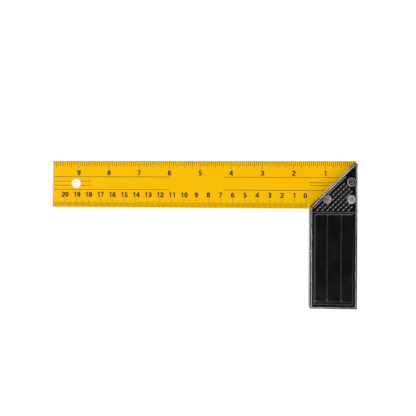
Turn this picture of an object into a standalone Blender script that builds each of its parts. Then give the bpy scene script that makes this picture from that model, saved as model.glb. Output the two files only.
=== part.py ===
"""Riveted try square: a graduated steel blade set in a slotted cast handle.

The square lies on its back. The blade runs along X with its free end towards -X,
the handle reaches towards -Y, and both faces of the handle are alike. The origin is
on the surface that the square lies on, under the middle of its outline.
"""
import math

import bmesh
import bpy
from mathutils import Matrix, Vector

MM = 0.001

# Blade
BLADE_LENGTH = 250.0 * MM
BLADE_WIDTH = 38.5 * MM
BLADE_THICKNESS = 1.0 * MM
HANG_HOLE_DIAMETER = 7.8 * MM
HANG_HOLE_FROM_END = 19.8 * MM
HANG_HOLE_FROM_TOP = 18.9 * MM

# Handle body
HANDLE_WIDTH = 37.0 * MM
HANDLE_REACH = 79.7 * MM
HANDLE_THICKNESS = 16.0 * MM
TIP_FLAT = 3.0 * MM
TIP_DROP = 2.35 * MM
CORNER_RADIUS = 1.0 * MM
EDGE_CHAMFER = 0.6 * MM

# Recess inside the rim, on both faces
RIM_WIDTH = 1.9 * MM
RECESS_DEPTH = 1.8 * MM
RECESS_CORNER_RADIUS = 0.6 * MM

# Grip pad, and the three long panels raised on it
PAD_OFFSET = 3.0 * MM
PAD_HEIGHT = 0.6 * MM
PAD_EDGE = 0.4 * MM
PAD_CORNER_RADIUS = 0.9 * MM
PANEL_HEIGHT = 0.5 * MM
PANEL_FLANK = 0.6 * MM
PANEL_SIDE_MARGIN = 0.5 * MM
PANEL_TOP_MARGIN = 0.5 * MM
PANEL_FOOT_MARGIN = 2.2 * MM
PANEL_TOP_RADIUS = 0.8 * MM
PANEL_FOOT_RADIUS = 2.0 * MM
GROOVE_WIDTH = 0.6 * MM
GROOVE_SPACING = 10.95 * MM

# Cross bar between the grip and the knurled triangle
BAR_BELOW_KNEE = 3.95 * MM
BAR_WIDTH = 1.6 * MM
BAR_HEIGHT = 1.1 * MM
BAR_RIM_GAP = 0.6 * MM
BAR_PAD_GAP = 0.8 * MM

# Ridge along the mitred edge
RIDGE_OFFSET = 2.5 * MM
RIDGE_WIDTH = 0.9 * MM
RIDGE_HEIGHT = 1.0 * MM
RIDGE_END_GAP = 0.6 * MM

# Diamond knurl
KNURL_PITCH = 4.1 * MM
KNURL_HEIGHT = 1.0 * MM
KNURL_VALLEY = 0.2 * MM
KNURL_BORDER = 0.3 * MM
KNURL_START_X = 4.05 * MM
KNURL_START_Y = 2.3 * MM

# Rivets
SHANK_DIAMETER = 4.0 * MM
HEAD_DIAMETER = 7.2 * MM
HEAD_HEIGHT = 1.4 * MM
HEAD_EDGE = 0.3 * MM
DIMPLE_DIAMETER = 2.0 * MM
DIMPLE_DEPTH = 0.5 * MM
SPOT_FACE_DEPTH = 0.2 * MM
OUTER_RIVETS_FROM_FACE = 4.6 * MM
INNER_RIVET_FROM_FACE = 23.7 * MM
LOWER_RIVETS_RISE = 7.4 * MM
UPPER_RIVET_RISE = 21.2 * MM

# Fits
SLOT_CLEARANCE = 0.25 * MM
RIVET_CLEARANCE = 0.2 * MM

# Mesh fineness, and how far a cutter or a raised form runs past the surface it meets
ROUND_STEPS = 4
CIRCLE_SEGMENTS = 32
SHARP_ANGLE = math.radians(20)
OVERSHOOT = 1.0 * MM
ROOT = 0.5 * MM

# Levels and faces worked out from the sizes above
OUTER_X = BLADE_LENGTH / 2
INNER_X = OUTER_X - HANDLE_WIDTH
TOP_Y = (BLADE_WIDTH + HANDLE_REACH) / 2
BLADE_LOW_Y = TOP_Y - BLADE_WIDTH
FOOT_Y = BLADE_LOW_Y - HANDLE_REACH
TIP_Y = TOP_Y - TIP_DROP
KNEE_Y = TIP_Y - (HANDLE_WIDTH - TIP_FLAT)
MID_Z = HANDLE_THICKNESS / 2
BAR_TOP_Y = KNEE_Y - BAR_BELOW_KNEE
PAD_TOP_Y = BAR_TOP_Y - BAR_WIDTH - BAR_PAD_GAP
SEAT_DEPTH = RECESS_DEPTH + SPOT_FACE_DEPTH
FACES = (1, -1)

RIVETS = {
    "rivet_upper": (OUTER_X - OUTER_RIVETS_FROM_FACE, BLADE_LOW_Y + UPPER_RIVET_RISE),
    "rivet_outer": (OUTER_X - OUTER_RIVETS_FROM_FACE, BLADE_LOW_Y + LOWER_RIVETS_RISE),
    "rivet_inner": (OUTER_X - INNER_RIVET_FROM_FACE, BLADE_LOW_Y + LOWER_RIVETS_RISE),
}


def clear_scene():
    """Empty the file before the square is built."""
    for leftover in list(bpy.data.objects):
        bpy.data.objects.remove(leftover, do_unlink=True)


def make_material(name, colour, roughness, metallic):
    """Principled material of one colour."""
    material = bpy.data.materials.new(name)
    material.use_nodes = True
    shader = material.node_tree.nodes["Principled BSDF"]
    shader.inputs["Base Color"].default_value = (*colour, 1.0)
    shader.inputs["Roughness"].default_value = roughness
    shader.inputs["Metallic"].default_value = metallic
    return material


def mitre_y(x, offset):
    """Height of the line parallel to the mitred edge, set into the handle by the offset."""
    return KNEE_Y + (x - INNER_X) - offset * math.sqrt(2)


def mitre_x(y, offset):
    """Place along X of that same line."""
    return INNER_X + (y - KNEE_Y) + offset * math.sqrt(2)


def rounded(corners, radii):
    """Anticlockwise convex outline with an arc of its own radius at each corner."""
    points = []
    for index, corner in enumerate(corners):
        here = Vector(corner)
        back = (Vector(corners[index - 1]) - here).normalized()
        onward = (Vector(corners[(index + 1) % len(corners)]) - here).normalized()
        half_angle = back.angle(onward) / 2
        radius = radii[index]
        centre = here + (back + onward).normalized() * radius / math.sin(half_angle)
        start = here + back * radius / math.tan(half_angle) - centre
        sweep = math.pi - 2 * half_angle
        for step in range(ROUND_STEPS + 1):
            turn = Matrix.Rotation(sweep * step / ROUND_STEPS, 2)
            points.append(centre + turn @ start)
    return points


def rectangle(low_x, high_x, low_y, high_y):
    """Corners of an upright rectangle, anticlockwise."""
    return [(low_x, low_y), (high_x, low_y), (high_x, high_y), (low_x, high_y)]


def circle(centre, radius):
    """Points of a circle, anticlockwise."""
    turns = [2 * math.pi * step / CIRCLE_SEGMENTS for step in range(CIRCLE_SEGMENTS)]
    return [(centre[0] + radius * math.cos(turn), centre[1] + radius * math.sin(turn)) for turn in turns]


def face_z(face, depth):
    """Level at a depth below the rim of the front (1) or the back (-1) of the handle."""
    return MID_Z + face * (MID_Z - depth)


def add_stack(mesh, rings):
    """Add a closed solid through outlines of equal length, each at its own level."""
    loops = []
    for level, outline in sorted(rings, key=lambda ring: ring[0]):
        loops.append([mesh.verts.new((point[0], point[1], level)) for point in outline])
    mesh.faces.new(reversed(loops[0]))
    mesh.faces.new(loops[-1])
    for lower, upper in zip(loops, loops[1:]):
        for index in range(len(lower)):
            after = (index + 1) % len(lower)
            mesh.faces.new((lower[index], lower[after], upper[after], upper[index]))


def add_turned(mesh, profile):
    """Add a solid turned about Z from (radius, level) points that start and end on the axis."""
    bottom = mesh.verts.new((0, 0, profile[0][1]))
    top = mesh.verts.new((0, 0, profile[-1][1]))
    loops = []
    for radius, level in profile[1:-1]:
        loops.append([mesh.verts.new((x, y, level)) for x, y in circle((0, 0), radius)])
    for index in range(CIRCLE_SEGMENTS):
        after = (index + 1) % CIRCLE_SEGMENTS
        mesh.faces.new((bottom, loops[0][after], loops[0][index]))
        mesh.faces.new((top, loops[-1][index], loops[-1][after]))
        for lower, upper in zip(loops, loops[1:]):
            mesh.faces.new((lower[index], lower[after], upper[after], upper[index]))


def finish_mesh(mesh, name):
    """Turn the bmesh into mesh data."""
    data = bpy.data.meshes.new(name)
    mesh.to_mesh(data)
    mesh.free()
    return data


def place_piece(name, data, material, parent, location=(0, 0, 0)):
    """Add a piece of the square to the scene."""
    if not data.materials:
        data.materials.append(material)
    piece = bpy.data.objects.new(name, data)
    piece.location = location
    piece.parent = parent
    bpy.context.scene.collection.objects.link(piece)
    return piece


def combine(piece, operation, name, solids, parent):
    """Cut a tool's solids from the piece, or join them to it.

    The solids of one tool stay clear of each other.
    """
    mesh = bmesh.new()
    for rings in solids:
        add_stack(mesh, rings)
    join_mesh(piece, operation, name, mesh, parent)


def join_mesh(piece, operation, name, mesh, parent):
    """Use a ready mesh as the tool of a Boolean on the piece."""
    tool = bpy.data.objects.new(name, finish_mesh(mesh, name))
    tool.parent = parent
    tool.hide_render = True
    tool.display_type = "WIRE"
    bpy.context.scene.collection.objects.link(tool)
    modifier = piece.modifiers.new(name, "BOOLEAN")
    modifier.operation = operation
    modifier.object = tool
    modifier.solver = "EXACT"


def cylinders(centres, radius, low_z, high_z):
    """One upright cylinder on each centre."""
    return [[(low_z, circle(centre, radius)), (high_z, circle(centre, radius))] for centre in centres]


def build_blade(material, parent):
    """Flat steel blade with its hang hole and rivet holes."""
    half_length = BLADE_LENGTH / 2
    half_width = BLADE_WIDTH / 2
    half_thickness = BLADE_THICKNESS / 2
    outline = rectangle(-half_length, half_length, -half_width, half_width)
    mesh = bmesh.new()
    add_stack(mesh, [(-half_thickness, outline), (half_thickness, outline)])
    location = (0, TOP_Y - half_width, MID_Z)
    blade = place_piece("steel_blade", finish_mesh(mesh, "steel_blade"), material, parent, location)
    low_z = MID_Z - half_thickness - OVERSHOOT
    high_z = MID_Z + half_thickness + OVERSHOOT
    hang_hole = (-half_length + HANG_HOLE_FROM_END, TOP_Y - HANG_HOLE_FROM_TOP)
    holes = cylinders([hang_hole], HANG_HOLE_DIAMETER / 2, low_z, high_z)
    holes += cylinders(RIVETS.values(), SHANK_DIAMETER / 2 + RIVET_CLEARANCE, low_z, high_z)
    combine(blade, "DIFFERENCE", "blade_holes", holes, parent)


def handle_outline(inset):
    """Outline of the handle moved inwards on every side."""
    low_x = INNER_X + inset
    high_x = OUTER_X - inset
    low_y = FOOT_Y + inset
    high_y = TIP_Y - inset
    corners = [(low_x, low_y), (high_x, low_y), (high_x, high_y),
               (mitre_x(high_y, inset), high_y), (low_x, mitre_y(low_x, inset))]
    return rounded(corners, [CORNER_RADIUS] * len(corners))


def recess_solid(face):
    """The hollow inside the rim of one face."""
    low_x = INNER_X + RIM_WIDTH
    high_x = OUTER_X - RIM_WIDTH
    low_y = FOOT_Y + RIM_WIDTH
    corners = [(low_x, low_y), (high_x, low_y),
               (high_x, mitre_y(high_x, RIM_WIDTH)), (low_x, mitre_y(low_x, RIM_WIDTH))]
    outline = rounded(corners, [RECESS_CORNER_RADIUS] * len(corners))
    return [(face_z(face, RECESS_DEPTH), outline), (face_z(face, -OVERSHOOT), outline)]


def pad_solid(face):
    """Raised grip pad of one face, with a chamfered edge."""
    def outline(inset):
        corners = rectangle(INNER_X + PAD_OFFSET + inset, OUTER_X - PAD_OFFSET - inset,
                            FOOT_Y + PAD_OFFSET + inset, PAD_TOP_Y - inset)
        return rounded(corners, [PAD_CORNER_RADIUS] * len(corners))
    top = RECESS_DEPTH - PAD_HEIGHT
    return [(face_z(face, RECESS_DEPTH + ROOT), outline(0)),
            (face_z(face, top + PAD_EDGE), outline(0)),
            (face_z(face, top), outline(PAD_EDGE))]


def panel_solids(face):
    """The long panels raised on the grip pad of one face, with a groove on each side of the middle one."""
    middle_x = (INNER_X + OUTER_X) / 2
    outer_edge = HANDLE_WIDTH / 2 - PAD_OFFSET - PANEL_SIDE_MARGIN
    groove_far = (GROOVE_SPACING + GROOVE_WIDTH) / 2
    groove_near = (GROOVE_SPACING - GROOVE_WIDTH) / 2
    spans = [(-outer_edge, -groove_far), (-groove_near, groove_near), (groove_far, outer_edge)]
    low_y = FOOT_Y + PAD_OFFSET + PANEL_FOOT_MARGIN
    high_y = PAD_TOP_Y - PANEL_TOP_MARGIN
    radii = [PANEL_FOOT_RADIUS, PANEL_FOOT_RADIUS, PANEL_TOP_RADIUS, PANEL_TOP_RADIUS]
    pad_top = RECESS_DEPTH - PAD_HEIGHT

    def outline(span, inset):
        corners = rectangle(middle_x + span[0] + inset, middle_x + span[1] - inset,
                            low_y + inset, high_y - inset)
        return rounded(corners, radii)
    return [[(face_z(face, pad_top + ROOT), outline(span, 0)),
             (face_z(face, pad_top), outline(span, 0)),
             (face_z(face, pad_top - PANEL_HEIGHT), outline(span, PANEL_FLANK))] for span in spans]


def bar_solid(face):
    """Cross bar that grows out of the rim on the inner side."""
    outline = rectangle(INNER_X + RIM_WIDTH - ROOT, OUTER_X - RIM_WIDTH - BAR_RIM_GAP,
                        BAR_TOP_Y - BAR_WIDTH, BAR_TOP_Y)
    return [(face_z(face, RECESS_DEPTH + ROOT), outline),
            (face_z(face, RECESS_DEPTH - BAR_HEIGHT), outline)]


def ridge_solid(face):
    """Thin ridge that follows the mitred edge."""
    low_x = INNER_X + RIM_WIDTH + RIDGE_END_GAP
    high_x = OUTER_X - RIM_WIDTH - RIDGE_END_GAP
    inner_offset = RIDGE_OFFSET + RIDGE_WIDTH
    outline = [(low_x, mitre_y(low_x, inner_offset)), (high_x, mitre_y(high_x, inner_offset)),
               (high_x, mitre_y(high_x, RIDGE_OFFSET)), (low_x, mitre_y(low_x, RIDGE_OFFSET))]
    return [(face_z(face, RECESS_DEPTH + ROOT), outline),
            (face_z(face, RECESS_DEPTH - RIDGE_HEIGHT), outline)]


def knurl_limits():
    """Point and outward direction of each side of the knurled triangle."""
    right_x = OUTER_X - RIM_WIDTH - KNURL_BORDER
    bottom_y = BAR_TOP_Y + KNURL_BORDER
    slant = RIDGE_OFFSET + RIDGE_WIDTH + KNURL_BORDER
    return [(Vector((right_x, bottom_y, 0)), Vector((1, 0, 0))),
            (Vector((right_x, bottom_y, 0)), Vector((0, -1, 0))),
            (Vector((right_x, mitre_y(right_x, slant), 0)), Vector((-1, 1, 0)).normalized())]


def add_stud(mesh, face, centre, limits):
    """Add one four-sided knurl point, trimmed to the triangle."""
    reach = KNURL_PITCH / 2 - KNURL_VALLEY / math.sqrt(2)
    base = [(centre.x + reach, centre.y), (centre.x, centre.y + reach),
            (centre.x - reach, centre.y), (centre.x, centre.y - reach)]
    root_z = face_z(face, RECESS_DEPTH + ROOT)
    floor_z = face_z(face, RECESS_DEPTH)
    stud = bmesh.new()
    root = [stud.verts.new((x, y, root_z)) for x, y in base]
    foot = [stud.verts.new((x, y, floor_z)) for x, y in base]
    apex = stud.verts.new((centre.x, centre.y, face_z(face, RECESS_DEPTH - KNURL_HEIGHT)))
    stud.faces.new(reversed(root))
    for index in range(len(base)):
        after = (index + 1) % len(base)
        stud.faces.new((root[index], root[after], foot[after], foot[index]))
        stud.faces.new((foot[index], foot[after], apex))
    for point, outward in limits:
        parts = stud.verts[:] + stud.edges[:] + stud.faces[:]
        bmesh.ops.bisect_plane(stud, geom=parts, plane_co=point, plane_no=outward, clear_outer=True)
        bmesh.ops.holes_fill(stud, edges=[edge for edge in stud.edges if edge.is_boundary])
    bmesh.ops.recalc_face_normals(stud, faces=stud.faces[:])
    copies = {vert: mesh.verts.new(vert.co) for vert in stud.verts}
    for side in stud.faces:
        mesh.faces.new([copies[vert] for vert in side.verts])
    stud.free()


def knurl_mesh():
    """Knurl points of both faces whose middle lies inside the triangle."""
    limits = knurl_limits()
    start = Vector((OUTER_X - KNURL_START_X, BAR_TOP_Y + KNURL_START_Y, 0))
    half_pitch = KNURL_PITCH / 2
    reach = math.ceil(HANDLE_WIDTH / half_pitch)
    mesh = bmesh.new()
    for column in range(-reach, reach + 1):
        for row in range(-reach, reach + 1):
            centre = start + Vector((column * half_pitch, row * half_pitch, 0))
            inside = all((centre - point).dot(outward) < 0 for point, outward in limits)
            if inside and (column + row) % 2 == 0:
                for face in FACES:
                    add_stud(mesh, face, centre, limits)
    return mesh


def slot_solid():
    """Slot for the blade, open at the mitred edge, the tip and the outer face."""
    outline = rectangle(INNER_X - OVERSHOOT, OUTER_X + OVERSHOOT,
                        BLADE_LOW_Y - SLOT_CLEARANCE, TOP_Y + OVERSHOOT)
    half_height = BLADE_THICKNESS / 2 + SLOT_CLEARANCE
    return [(MID_Z - half_height, outline), (MID_Z + half_height, outline)]


def build_handle(material, parent):
    """Cast handle: body, recesses, grip pads, knurl, blade slot and rivet seats."""
    mesh = bmesh.new()
    add_stack(mesh, [(0, handle_outline(EDGE_CHAMFER)), (EDGE_CHAMFER, handle_outline(0)),
                     (HANDLE_THICKNESS - EDGE_CHAMFER, handle_outline(0)),
                     (HANDLE_THICKNESS, handle_outline(EDGE_CHAMFER))])
    handle = place_piece("handle_casting", finish_mesh(mesh, "handle_casting"), material, parent)
    recesses = [recess_solid(face) for face in FACES]
    raised = [solid(face) for face in FACES for solid in (pad_solid, bar_solid, ridge_solid)]
    panels = [panel for face in FACES for panel in panel_solids(face)]
    combine(handle, "DIFFERENCE", "recesses", recesses, parent)
    combine(handle, "UNION", "raised_forms", raised, parent)
    combine(handle, "UNION", "grip_panels", panels, parent)
    join_mesh(handle, "UNION", "knurl", knurl_mesh(), parent)
    combine(handle, "DIFFERENCE", "blade_slot", [slot_solid()], parent)
    hole_radius = SHANK_DIAMETER / 2 + RIVET_CLEARANCE
    holes = cylinders(RIVETS.values(), hole_radius, -OVERSHOOT, HANDLE_THICKNESS + OVERSHOOT)
    combine(handle, "DIFFERENCE", "rivet_holes", holes, parent)
    spot_radius = HEAD_DIAMETER / 2 + RIVET_CLEARANCE
    spots = []
    for face in FACES:
        spots += cylinders(RIVETS.values(), spot_radius, face_z(face, SEAT_DEPTH), face_z(face, -OVERSHOOT))
    combine(handle, "DIFFERENCE", "spot_faces", spots, parent)


def build_rivets(material, parent):
    """Three alike rivets, each with a dimpled head on both faces."""
    under_head = MID_Z - SEAT_DEPTH + RIVET_CLEARANCE
    head_top = under_head + HEAD_HEIGHT
    upper_half = [
        (SHANK_DIAMETER / 2, under_head),
        (HEAD_DIAMETER / 2, under_head),
        (HEAD_DIAMETER / 2, head_top - HEAD_EDGE),
        (HEAD_DIAMETER / 2 - HEAD_EDGE, head_top),
        (DIMPLE_DIAMETER / 2, head_top),
        (0, head_top - DIMPLE_DEPTH),
    ]
    lower_half = [(radius, -level) for radius, level in reversed(upper_half)]
    mesh = bmesh.new()
    add_turned(mesh, lower_half + upper_half)
    data = finish_mesh(mesh, "rivet")
    data.shade_smooth()
    data.set_sharp_from_angle(angle=SHARP_ANGLE)
    for name, (x, y) in RIVETS.items():
        place_piece(name, data, material, parent, (x, y, MID_Z))


def main():
    clear_scene()
    square = bpy.data.objects.new("try_square", None)
    bpy.context.scene.collection.objects.link(square)
    lacquer = make_material("yellow_lacquer", (0.94, 0.53, 0.005), 0.35, 0.0)
    paint = make_material("black_cast_paint", (0.012, 0.012, 0.012), 0.4, 0.0)
    steel = make_material("rivet_metal", (0.42, 0.4, 0.38), 0.4, 1.0)
    build_blade(lacquer, square)
    build_handle(paint, square)
    build_rivets(steel, square)


main()
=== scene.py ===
"""Looks of the riveted try square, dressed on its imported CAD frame.

The square lies on its back on a white studio floor. Every size below is in metres,
in the frame of the CAD: the blade runs along X and the handle reaches towards -Y.
"""
import math

import bmesh
import bpy
from mathutils import Matrix, Vector


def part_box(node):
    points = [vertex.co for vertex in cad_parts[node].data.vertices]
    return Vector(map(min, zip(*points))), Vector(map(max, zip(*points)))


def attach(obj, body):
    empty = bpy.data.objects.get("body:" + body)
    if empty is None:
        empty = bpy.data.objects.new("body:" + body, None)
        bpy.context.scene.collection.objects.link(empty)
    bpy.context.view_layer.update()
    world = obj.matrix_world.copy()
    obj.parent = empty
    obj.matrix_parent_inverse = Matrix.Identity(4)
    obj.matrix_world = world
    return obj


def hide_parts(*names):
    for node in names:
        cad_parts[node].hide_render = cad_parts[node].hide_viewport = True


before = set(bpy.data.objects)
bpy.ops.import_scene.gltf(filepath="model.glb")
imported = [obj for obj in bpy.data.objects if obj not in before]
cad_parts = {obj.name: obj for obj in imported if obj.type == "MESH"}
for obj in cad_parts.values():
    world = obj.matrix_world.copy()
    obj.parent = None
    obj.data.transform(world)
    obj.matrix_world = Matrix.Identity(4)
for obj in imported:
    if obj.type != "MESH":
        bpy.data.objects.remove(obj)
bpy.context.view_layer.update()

MM = 0.001

# Places taken from the frame
handle_low, handle_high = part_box("handle_casting")
blade_low, blade_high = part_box("steel_blade")
rivet_low, rivet_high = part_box("rivet_upper")
INNER_X = handle_low.x
OUTER_X = handle_high.x
FOOT_Y = handle_low.y
TIP_Y = handle_high.y
MID_Z = (handle_low.z + handle_high.z) / 2
HALF_THICKNESS = (handle_high.z - handle_low.z) / 2
HANDLE_WIDTH = OUTER_X - INNER_X
RIVET_NODES = ("rivet_upper", "rivet_outer", "rivet_inner")
RIVET_CENTRES = {node: sum(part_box(node), Vector()) / 2 for node in RIVET_NODES}
RIVET_HALF = (rivet_high.z - rivet_low.z) / 2
X_WAY = Vector((1, 0, 0))
Y_WAY = Vector((0, 1, 0))
FACES = (1, -1)

# Handle body
TIP_FLAT = 3.0 * MM
CORNER_RADIUS = 1.0 * MM
FOOT_CORNER_RADIUS = 0.4 * MM
EDGE_CHAMFER = 0.45 * MM
EDGE_STRIP = 0.4 * MM
EDGE_SOFTENING = 0.05 * MM
STRIP_FALL = 0.005 * MM
STRIP_SHOULDER = 0.025 * MM
CHAMFER_SHOULDER = 0.02 * MM
KNEE_STRIP = 0.5 * MM
INNER_KNEE_SHIFT = -0.2 * MM
INNER_FOOT_SHIFT = 0.1 * MM
KNEE_Y = TIP_Y - (HANDLE_WIDTH - TIP_FLAT)
KNEE = Vector((INNER_X, KNEE_Y, MID_Z))
MITRE_DIRECTION = (Y_WAY - X_WAY).normalized()
MITRE_REACH = MITRE_DIRECTION.dot(KNEE)
NICK_Y = -13.6 * MM
NICK_SIZE = Vector((0.6, 0.65, 0.4)) * MM
NICK_FINENESS = 3

# Recess
INNER_RIM = 1.75 * MM
OUTER_RIM = 1.8 * MM
FOOT_RIM = 1.55 * MM
MITRE_RIM = 2.17 * MM
RECESS_DEPTH = 1.8 * MM
RECESS_CORNER_RADIUS = 0.6 * MM
RECESS_FILLET = 0.35 * MM
RECESS_LIP = 0.1 * MM
LIP_SHOULDER = 0.04 * MM
LIP_SETBACK = 0.03 * MM
LIP_FALL = 0.01 * MM
PAINT_MARGIN = 0.35 * MM
PAINT_STEP = 0.02 * MM
# Width over which the faced rim brightens along the mitre, painted sheen and rubbing together.
SHEEN_AND_RUBBING_FADE = 1.0 * MM

# Grip pad and its panels
PAD_OFFSET = 3.0 * MM
PAD_HEIGHT = 1.1 * MM
PAD_BEVEL_HEIGHT = 0.35 * MM
PAD_BEVEL_WIDTH = 0.8 * MM
PAD_CORNER_RADIUS = 0.3 * MM
PAD_TOP_Y = KNEE_Y - 6.35 * MM
PANEL_HEIGHT = 0.45 * MM
PANEL_FLANK = 0.9 * MM
PANEL_BACK_SHARE = 0.2
PANEL_TOP_SHARE = 0.4
PANEL_SIDE_MARGIN = 0.65 * MM
PANEL_TOP_MARGIN = 0.9 * MM
PANEL_FOOT_MARGIN = 2.2 * MM
PANEL_TOP_RADIUS = 0.8 * MM
PANEL_FOOT_RADIUS = 1.2 * MM
GROOVE_WIDTH = 0.6 * MM
GROOVE_SPACING = 10.95 * MM
GROOVE_SHIFT = -0.35 * MM

# Cross bar between knurl and pad, its crest nearer the pad
BAR_TOP_Y = KNEE_Y - 4.15 * MM
BAR_WIDTH = 1.8 * MM
BAR_HEIGHT = 1.35 * MM
BAR_SLOPE_HEIGHT = 0.46 * MM
BAR_SLOPE_WIDTH = 1.5 * MM
BAR_SLOPE_POWER = 1.25
BAR_BACK_SHARE = 0.1
BAR_RIM_GAP = 0.3 * MM

# Ridge along the mitred edge
RIDGE_OFFSET = 2.7 * MM
RIDGE_WIDTH = 1.3 * MM
RIDGE_LENGTH = 28.0 * MM
RIDGE_HEIGHT = 1.7 * MM
RIDGE_BEVEL_HEIGHT = 0.38 * MM
RIDGE_BEVEL_WIDTH = 0.62 * MM
RIDGE_END_GAP = 0.6 * MM

# Diamond knurl; the middle of each point keeps a gap from the axis of each rivet
KNURL_PITCH = 4.1 * MM
KNURL_PLINTH = 0.7 * MM
KNURL_HEIGHT = 0.44 * MM
KNURL_VALLEY = 0.42 * MM
KNURL_TOP_SHARE = 0.45
KNURL_BORDER = 0.3 * MM
KNURL_GAPS = {"rivet_upper": 4.4 * MM, "rivet_outer": 3.6 * MM, "rivet_inner": 3.6 * MM}
KNURL_FOOT_Y = KNEE_Y - 4.0 * MM
KNURL_START_X = 4.05 * MM
KNURL_START_Y = 2.35 * MM

# Blade slot, rivet seats and rivets
SLOT_CLEARANCE = 0.25 * MM
SPOT_FACE_DEPTH = 0.2 * MM
SHANK_RADIUS = 2.0 * MM
HEAD_RADIUS = 3.5 * MM
HOLE_RADIUS = SHANK_RADIUS + 0.2 * MM
SEAT_RADIUS = HEAD_RADIUS + 0.3 * MM
HEAD_HEIGHT = 1.4 * MM
HEAD_ROUND = 0.4 * MM
HEAD_CROWN = 0.08 * MM
DIMPLE_RADIUS = 1.0 * MM
DIMPLE_WALL_RADIUS = 0.9 * MM
DIMPLE_FLOOR_RADIUS = 0.7 * MM
DIMPLE_WALL_SHARE = 0.3
DIMPLE_DEPTH = 0.7 * MM
SHALLOW_DIMPLE = 0.65 * MM
RING_INNER = 1.65 * MM
RING_OUTER = 2.6 * MM
RING_DEPTH = 0.45 * MM
RING_WALL = 0.15 * MM
# Depth past which the upper rivet's hollows take dark paint, painted shade of them as well as paint caught
# there.
PAINT_AND_SHADE_LEVEL = 0.2 * MM

# Blade
BLADE_EDGE = 0.12 * MM
HOLE_EDGE = 0.1 * MM
HANG_HOLE_RADIUS = 3.9 * MM
HANG_HOLE_FROM_END = 19.8 * MM
HANG_HOLE_FROM_TOP = 18.9 * MM
HANG_HOLE = (blade_low.x + HANG_HOLE_FROM_END, blade_high.y - HANG_HOLE_FROM_TOP)

# Printed scales: places along the blade, heights above its lower edge
INCH = 25.4 * MM
CENTIMETRE = 10.0 * MM
INCH_PARTS = 16
CM_PARTS = 10
CM_COUNT = 21
INK_PROUD = 0.02 * MM
INK_SUNK = 0.015 * MM
INK_MERGE = 0.0015 * MM
LINE_WIDTH = 0.36 * MM
MM_TICK_WIDTH = 0.25 * MM
INCH_TICK_WIDTH = 0.33 * MM
CM_ZERO_X = blade_high.x - 39.5 * MM
INCH_ZERO_X = blade_high.x + 0.68 * MM
NUMERAL_HEIGHT = 4.3 * MM
NUMERAL_STRETCH = 1.08
CM_NUMERAL_BASE = 8.4 * MM
INCH_NUMERAL_BASE = 26.45 * MM
CM_NUMERAL_SHIFT = 0.12 * MM
INCH_NUMERAL_SHIFT = 0.15 * MM
ZERO_SHIFT = -1.1 * MM
END_MARGIN = 1.0 * MM
OUTER_LINES = (14.7 * MM, 25.25 * MM)
LEFT_PAIR = (18.1 * MM, 21.5 * MM)
RIGHT_PAIR = (18.7 * MM, 21.0 * MM)
OUTER_LEFT_END = CM_ZERO_X - 112.1 * MM
OUTER_RIGHT_START = CM_ZERO_X - 67.6 * MM
LEFT_PAIR_END = CM_ZERO_X - 177.9 * MM
RIGHT_PAIR_START = CM_ZERO_X + 2.1 * MM
LINE_UNDER_HANDLE = 3.0 * MM

# Ticks: the number of parts from one to the next of its kind, and its length
CM_TICKS = ((CM_PARTS, 7.15 * MM), (CM_PARTS // 2, 5.55 * MM), (1, 4.25 * MM))
INCH_TICKS = ((INCH_PARTS, 6.5 * MM), (INCH_PARTS // 4, 5.35 * MM),
              (INCH_PARTS // 8, 4.35 * MM), (1, 3.75 * MM))

# Digits drawn with a broad pen, one unit tall; bars are given by left, right, bottom and top
DIGIT_WIDTH = 0.64
DIGIT_WEIGHT = 0.225
DIGIT_WAIST = 0.52
DIGIT_GAP = 0.03
HALF_UNIT = 0.5
UPPER_BOWL_SHARE = 0.92
ONE_OUTLINE = [(0.29, 0), (0.49, 0), (0.49, 1), (0.34, 1), (0.12, 0.82), (0.12, 0.64), (0.29, 0.74)]
TWO_HEEL = (0.11, 0.13)
TWO_FOOT = (0, DIGIT_WIDTH, 0, 0.18)
THREE_WAIST = (0.2, DIGIT_WAIST)
FOUR_SLANT = [(0.09, 0.33), (0.44, 0.93)]
FOUR_POST = (0.36, 0.55, 0, 1)
FOUR_BAR = (0, DIGIT_WIDTH, 0.2, 0.37)
FIVE_CENTRE = (0.3, 0.325)
FIVE_RISE = 0.23
FIVE_TOP = (0.09, 0.57, 0.82, 1)
FIVE_STEM = [(0.04, 0.45), (0.22, 0.5), (0.27, 0.9), (0.09, 0.9)]
SEVEN_OUTLINE = [(0.08, 0), (0.29, 0), (0.6, 0.85), (0.6, 1), (0, 1), (0, 0.81), (0.39, 0.81)]

# Mesh fineness, and how far a tool runs past the surface it meets
ARC_STEPS = 6
ROUND_STEPS = 5
DIGIT_STEPS = 28
CIRCLE_SEGMENTS = 96
OVERSHOOT = 1.0 * MM
ROOT = 0.5 * MM
BEVEL_EASE = 0.12
SHARP_ANGLE = math.radians(25)

# How level a face is, from its normal: walls below the first, chamfers below the second
WALL_LEVEL = 0.3
CHAMFER_LEVEL = 0.9

# How squarely a face of the mitre looks out of it, from its normal
MITRE_SHARE = 0.6

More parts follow.
